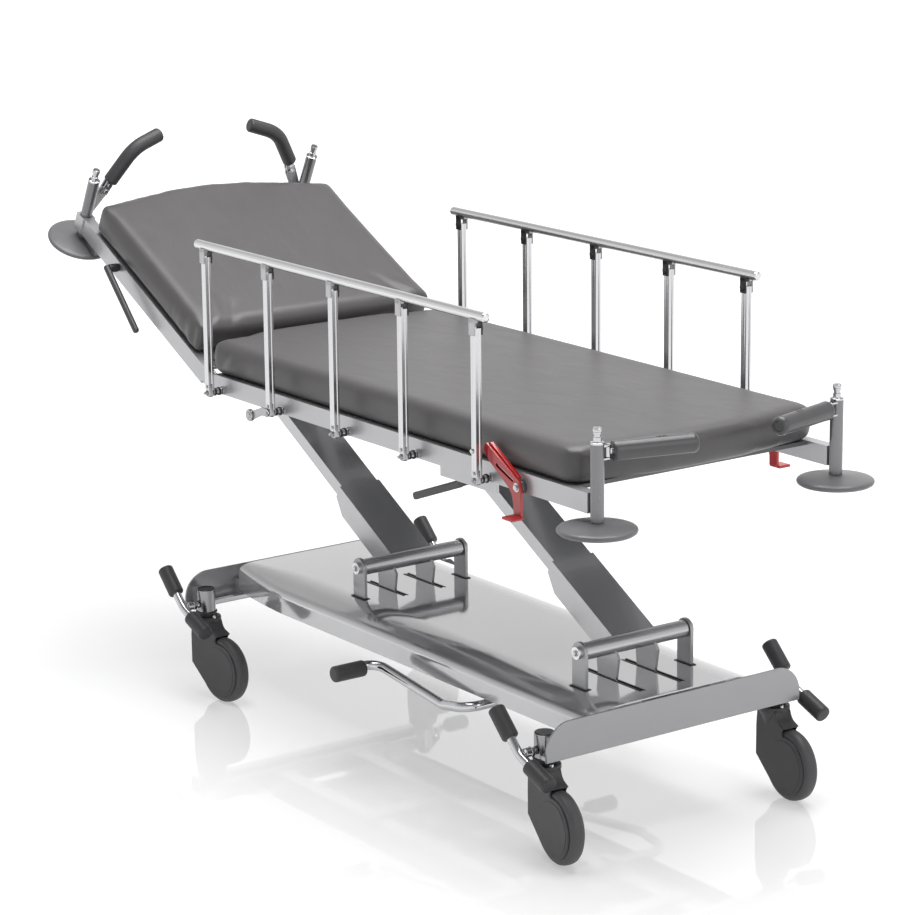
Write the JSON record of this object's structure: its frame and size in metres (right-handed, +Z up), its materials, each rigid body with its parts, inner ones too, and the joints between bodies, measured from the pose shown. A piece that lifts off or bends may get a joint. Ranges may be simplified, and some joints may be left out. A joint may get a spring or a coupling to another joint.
{
  "type": "patient transport stretcher",
  "caption": "Hospital patient trolley with parallel lift arms, tilting backrest, folding side rails, swivel casters, brake and pump pedals, push handles and corner bumper discs.",
  "frame": {"origin": "on the floor, below the middle of the overall length and width", "axes": "+X towards the foot end, +Y towards the far side rail, +Z up"},
  "size_m": [2.1105, 0.76, 1.2479],
  "materials": {
    "shell_paint": "glossy",
    "frame_paint": "satin",
    "arm_paint": "satin",
    "steel": "satin",
    "dark_steel": "satin",
    "chrome": "polished",
    "rail_aluminium": "satin anodised",
    "laminate": "matt",
    "vinyl": "matt coated cloth over foam",
    "caster_plastic": "matt",
    "tyre": "matt",
    "bumper_plastic": "matt",
    "grip_rubber": "matt",
    "red_paint": "glossy"
  },
  "bodies": {
    "base": {"base_shell": "shell_paint", "chassis_frame": "frame_paint", "head_end_plate": "shell_paint", "foot_end_plate": "shell_paint", "pivot_bracket_head": "frame_paint", "pivot_bracket_foot": "frame_paint", "pivot_shaft_head": "steel", "pivot_shaft_foot": "steel", "lift_cylinder_head": "frame_paint", "lift_cylinder_foot": "frame_paint", "hydraulic_pump": "frame_paint"},
    "lift_arm_head": {"lift_arm_head": "arm_paint"},
    "lift_arm_foot": {"lift_arm_foot": "arm_paint"},
    "piston_rod_head": {"piston_rod_head": "chrome"},
    "piston_rod_foot": {"piston_rod_foot": "chrome"},
    "brake_bar_head": {"brake_bar_head": "steel"},
    "brake_bar_foot": {"brake_bar_foot": "steel"},
    "pump_bar": {"pump_bar": "chrome"},
    "platform": {"platform_frame": "frame_paint", "deck_panel": "laminate", "mattress_main": "vinyl", "corner_post_foot_near": "frame_paint", "corner_post_foot_far": "frame_paint"},
    "backrest": {"backrest_frame": "frame_paint", "backrest_panel": "laminate", "mattress_backrest": "vinyl", "corner_post_head_near": "frame_paint", "corner_post_head_far": "frame_paint"},
    "backrest_lever": {"backrest_lever": "steel"},
    "tilt_lever": {"tilt_lever": "dark_steel"},
    "caster_fork_head_near": {"caster_fork_head_near": "caster_plastic"},
    "caster_wheel_head_near": {"caster_wheel_head_near": "tyre"},
    "caster_fork_head_far": {"caster_fork_head_far": "caster_plastic"},
    "caster_wheel_head_far": {"caster_wheel_head_far": "tyre"},
    "caster_fork_foot_near": {"caster_fork_foot_near": "caster_plastic"},
    "caster_wheel_foot_near": {"caster_wheel_foot_near": "tyre"},
    "caster_fork_foot_far": {"caster_fork_foot_far": "caster_plastic"},
    "caster_wheel_foot_far": {"caster_wheel_foot_far": "tyre"},
    "bumper_disc_head_near": {"bumper_disc_head_near": "bumper_plastic"},
    "bumper_disc_head_far": {"bumper_disc_head_far": "bumper_plastic"},
    "bumper_disc_foot_near": {"bumper_disc_foot_near": "bumper_plastic"},
    "bumper_disc_foot_far": {"bumper_disc_foot_far": "bumper_plastic"},
    "push_handle_near": {"push_handle_near": "grip_rubber"},
    "push_handle_far": {"push_handle_far": "grip_rubber"},
    "foot_handle_near": {"foot_handle_near": "grip_rubber"},
    "foot_handle_far": {"foot_handle_far": "grip_rubber"},
    "guard_post_near_1": {"guard_post_near_1": "rail_aluminium"},
    "guard_post_near_2": {"guard_post_near_2": "rail_aluminium"},
    "guard_post_near_3": {"guard_post_near_3": "rail_aluminium"},
    "guard_post_near_4": {"guard_post_near_4": "rail_aluminium"},
    "guard_post_near_5": {"guard_post_near_5": "rail_aluminium"},
    "guard_tube_near": {"guard_tube_near": "rail_aluminium"},
    "guard_latch_near": {"guard_latch_near": "red_paint"},
    "guard_post_far_1": {"guard_post_far_1": "rail_aluminium"},
    "guard_post_far_2": {"guard_post_far_2": "rail_aluminium"},
    "guard_post_far_3": {"guard_post_far_3": "rail_aluminium"},
    "guard_post_far_4": {"guard_post_far_4": "rail_aluminium"},
    "guard_post_far_5": {"guard_post_far_5": "rail_aluminium"},
    "guard_tube_far": {"guard_tube_far": "rail_aluminium"},
    "guard_latch_far": {"guard_latch_far": "red_paint"}
  },
  "joints": [
    {"name": "caster_swivel_head_near", "type": "hinge", "parent": "base", "child": "caster_fork_head_near", "pos_m": [-0.465, -0.299, 0.2], "axis": [0, 0, 1], "continuous": true},
    {"name": "wheel_spin_head_near", "type": "hinge", "parent": "caster_fork_head_near", "child": "caster_wheel_head_near", "pos_m": [-0.40334, -0.29252, 0.075], "axis": [-0.1045, 0.9945, 0], "continuous": true},
    {"name": "caster_swivel_head_far", "type": "hinge", "parent": "base", "child": "caster_fork_head_far", "pos_m": [-0.465, 0.299, 0.2], "axis": [0, 0, 1], "continuous": true},
    {"name": "wheel_spin_head_far", "type": "hinge", "parent": "caster_fork_head_far", "child": "caster_wheel_head_far", "pos_m": [-0.403, 0.299, 0.075], "axis": [0, 1, 0], "continuous": true},
    {"name": "caster_swivel_foot_near", "type": "hinge", "parent": "base", "child": "caster_fork_foot_near", "pos_m": [0.807, -0.299, 0.2], "axis": [0, 0, 1], "continuous": true},
    {"name": "wheel_spin_foot_near", "type": "hinge", "parent": "caster_fork_foot_near", "child": "caster_wheel_foot_near", "pos_m": [0.8684, -0.30763, 0.075], "axis": [0.1392, 0.9903, 0], "continuous": true},
    {"name": "caster_swivel_foot_far", "type": "hinge", "parent": "base", "child": "caster_fork_foot_far", "pos_m": [0.807, 0.299, 0.2], "axis": [0, 0, 1], "continuous": true},
    {"name": "wheel_spin_foot_far", "type": "hinge", "parent": "caster_fork_foot_far", "child": "caster_wheel_foot_far", "pos_m": [0.86876, 0.2936, 0.075], "axis": [0.0872, 0.9962, 0], "continuous": true},
    {"name": "lift_arm_head_pivot", "type": "hinge", "parent": "base", "child": "lift_arm_head", "pos_m": [-0.074, 0, 0.362], "axis": [0, 1, 0], "range_deg": [-21, 22.5]},
    {"name": "lift_arm_foot_pivot", "type": "hinge", "parent": "base", "child": "lift_arm_foot", "pos_m": [0.713, 0, 0.362], "axis": [0, 1, 0], "range_deg": [-21, 22.5]},
    {"name": "platform_level", "type": "hinge", "parent": "lift_arm_head", "child": "platform", "pos_m": [-0.5614, 0, 0.63776], "axis": [0, 1, 0], "range_deg": [-22.5, 21]},
    {"name": "piston_slide_head", "type": "slide", "parent": "base", "child": "piston_rod_head", "axis": [1, 0, 0], "range_m": [-0.045, 0.042]},
    {"name": "piston_slide_foot", "type": "slide", "parent": "base", "child": "piston_rod_foot", "axis": [1, 0, 0], "range_m": [-0.045, 0.042]},
    {"name": "brake_rocker_head", "type": "hinge", "parent": "base", "child": "brake_bar_head", "pos_m": [-0.465, 0, 0.22], "axis": [0, 1, 0], "range_deg": [-60, 0]},
    {"name": "brake_rocker_foot", "type": "hinge", "parent": "base", "child": "brake_bar_foot", "pos_m": [0.807, 0, 0.22], "axis": [0, 1, 0], "range_deg": [-60, 0]},
    {"name": "pump_pedal_pivot", "type": "hinge", "parent": "base", "child": "pump_bar", "pos_m": [0.501, 0, 0.214], "axis": [0, 1, 0], "range_deg": [-15, 0], "stiffness_Nm_per_rad": 40, "springref_deg": 22.92},
    {"name": "bumper_spin_head_near", "type": "hinge", "parent": "backrest", "child": "bumper_disc_head_near", "pos_m": [-0.97815, -0.302, 0.99865], "axis": [0.454, 0, 0.891], "continuous": true},
    {"name": "bumper_spin_head_far", "type": "hinge", "parent": "backrest", "child": "bumper_disc_head_far", "pos_m": [-0.97815, 0.302, 0.99865], "axis": [0.454, 0, 0.891], "continuous": true},
    {"name": "bumper_spin_foot_near", "type": "hinge", "parent": "platform", "child": "bumper_disc_foot_near", "pos_m": [0.977, -0.302, 0.7], "axis": [0, 0, 1], "continuous": true},
    {"name": "bumper_spin_foot_far", "type": "hinge", "parent": "platform", "child": "bumper_disc_foot_far", "pos_m": [0.977, 0.302, 0.7], "axis": [0, 0, 1], "continuous": true},
    {"name": "backrest_hinge", "type": "hinge", "parent": "platform", "child": "backrest", "pos_m": [-0.404, 0, 0.751], "axis": [0, 1, 0], "range_deg": [-27, 35]},
    {"name": "backrest_lever_pivot", "type": "hinge", "parent": "backrest", "child": "backrest_lever", "pos_m": [-0.7835, -0.345, 0.95334], "axis": [0, 1, 0], "range_deg": [-12, 0], "stiffness_Nm_per_rad": 2, "springref_deg": 22.92},
    {"name": "push_handle_fold_near", "type": "hinge", "parent": "backrest", "child": "push_handle_near", "pos_m": [-0.94019, -0.258, 1.1095], "axis": [0.891, 0, -0.454], "range_deg": [-75, 0]},
    {"name": "push_handle_fold_far", "type": "hinge", "parent": "backrest", "child": "push_handle_far", "pos_m": [-0.94019, 0.258, 1.1095], "axis": [0.891, 0, -0.454], "range_deg": [0, 75]},
    {"name": "foot_handle_swing_near", "type": "hinge", "parent": "platform", "child": "foot_handle_near", "pos_m": [0.981, -0.281, 0.85], "axis": [0, 0, 1], "range_deg": [-75, 0]},
    {"name": "foot_handle_swing_far", "type": "hinge", "parent": "platform", "child": "foot_handle_far", "pos_m": [0.981, 0.281, 0.85], "axis": [0, 0, 1], "range_deg": [0, 75]},
    {"name": "guard_fold_near_1", "type": "hinge", "parent": "platform", "child": "guard_post_near_1", "pos_m": [-0.345, -0.345, 0.739], "axis": [0, 1, 0], "range_deg": [0, 80]},
    {"name": "guard_fold_near_2", "type": "hinge", "parent": "platform", "child": "guard_post_near_2", "pos_m": [-0.0955, -0.345, 0.739], "axis": [0, 1, 0], "range_deg": [0, 80]},
    {"name": "guard_fold_near_3", "type": "hinge", "parent": "platform", "child": "guard_post_near_3", "pos_m": [0.154, -0.345, 0.739], "axis": [0, 1, 0], "range_deg": [0, 80]},
    {"name": "guard_fold_near_4", "type": "hinge", "parent": "platform", "child": "guard_post_near_4", "pos_m": [0.4035, -0.345, 0.739], "axis": [0, 1, 0], "range_deg": [0, 80]},
    {"name": "guard_fold_near_5", "type": "hinge", "parent": "platform", "child": "guard_post_near_5", "pos_m": [0.653, -0.345, 0.739], "axis": [0, 1, 0], "range_deg": [0, 80]},
    {"name": "guard_tube_level_near", "type": "hinge", "parent": "guard_post_near_1", "child": "guard_tube_near", "pos_m": [-0.345, -0.345, 1.042], "axis": [0, 1, 0], "range_deg": [-80, 0]},
    {"name": "guard_latch_pivot_near", "type": "hinge", "parent": "platform", "child": "guard_latch_near", "pos_m": [0.763, -0.328, 0.744], "axis": [0, 1, 0], "range_deg": [-22, 0], "stiffness_Nm_per_rad": 3, "springref_deg": 28.65},
    {"name": "guard_fold_far_1", "type": "hinge", "parent": "platform", "child": "guard_post_far_1", "pos_m": [-0.345, 0.345, 0.739], "axis": [0, 1, 0], "range_deg": [0, 80]},
    {"name": "guard_fold_far_2", "type": "hinge", "parent": "platform", "child": "guard_post_far_2", "pos_m": [-0.0955, 0.345, 0.739], "axis": [0, 1, 0], "range_deg": [0, 80]},
    {"name": "guard_fold_far_3", "type": "hinge", "parent": "platform", "child": "guard_post_far_3", "pos_m": [0.154, 0.345, 0.739], "axis": [0, 1, 0], "range_deg": [0, 80]},
    {"name": "guard_fold_far_4", "type": "hinge", "parent": "platform", "child": "guard_post_far_4", "pos_m": [0.4035, 0.345, 0.739], "axis": [0, 1, 0], "range_deg": [0, 80]},
    {"name": "guard_fold_far_5", "type": "hinge", "parent": "platform", "child": "guard_post_far_5", "pos_m": [0.653, 0.345, 0.739], "axis": [0, 1, 0], "range_deg": [0, 80]},
    {"name": "guard_tube_level_far", "type": "hinge", "parent": "guard_post_far_1", "child": "guard_tube_far", "pos_m": [-0.345, 0.345, 1.042], "axis": [0, 1, 0], "range_deg": [-80, 0]},
    {"name": "guard_latch_pivot_far", "type": "hinge", "parent": "platform", "child": "guard_latch_far", "pos_m": [0.763, 0.328, 0.744], "axis": [0, 1, 0], "range_deg": [-22, 0], "stiffness_Nm_per_rad": 3, "springref_deg": 28.65},
    {"name": "tilt_lever_pivot", "type": "hinge", "parent": "platform", "child": "tilt_lever", "pos_m": [0.581, -0.302, 0.718], "axis": [0, 1, 0], "range_deg": [0, 12], "stiffness_Nm_per_rad": 4, "springref_deg": -28.65}
  ],
  "couplings": [
    {"joint": "lift_arm_foot_pivot", "follows": "lift_arm_head_pivot", "ratio": 1},
    {"joint": "platform_level", "follows": "lift_arm_head_pivot", "ratio": -1},
    {"joint": "piston_slide_head", "follows": "lift_arm_head_pivot", "m_per_rad": -0.112},
    {"joint": "piston_slide_foot", "follows": "lift_arm_head_pivot", "m_per_rad": -0.112},
    {"joint": "guard_fold_near_2", "follows": "guard_fold_near_1", "ratio": 1},
    {"joint": "guard_fold_near_3", "follows": "guard_fold_near_1", "ratio": 1},
    {"joint": "guard_fold_near_4", "follows": "guard_fold_near_1", "ratio": 1},
    {"joint": "guard_fold_near_5", "follows": "guard_fold_near_1", "ratio": 1},
    {"joint": "guard_tube_level_near", "follows": "guard_fold_near_1", "ratio": -1},
    {"joint": "guard_fold_far_2", "follows": "guard_fold_far_1", "ratio": 1},
    {"joint": "guard_fold_far_3", "follows": "guard_fold_far_1", "ratio": 1},
    {"joint": "guard_fold_far_4", "follows": "guard_fold_far_1", "ratio": 1},
    {"joint": "guard_fold_far_5", "follows": "guard_fold_far_1", "ratio": 1},
    {"joint": "guard_tube_level_far", "follows": "guard_fold_far_1", "ratio": -1}
  ]
}
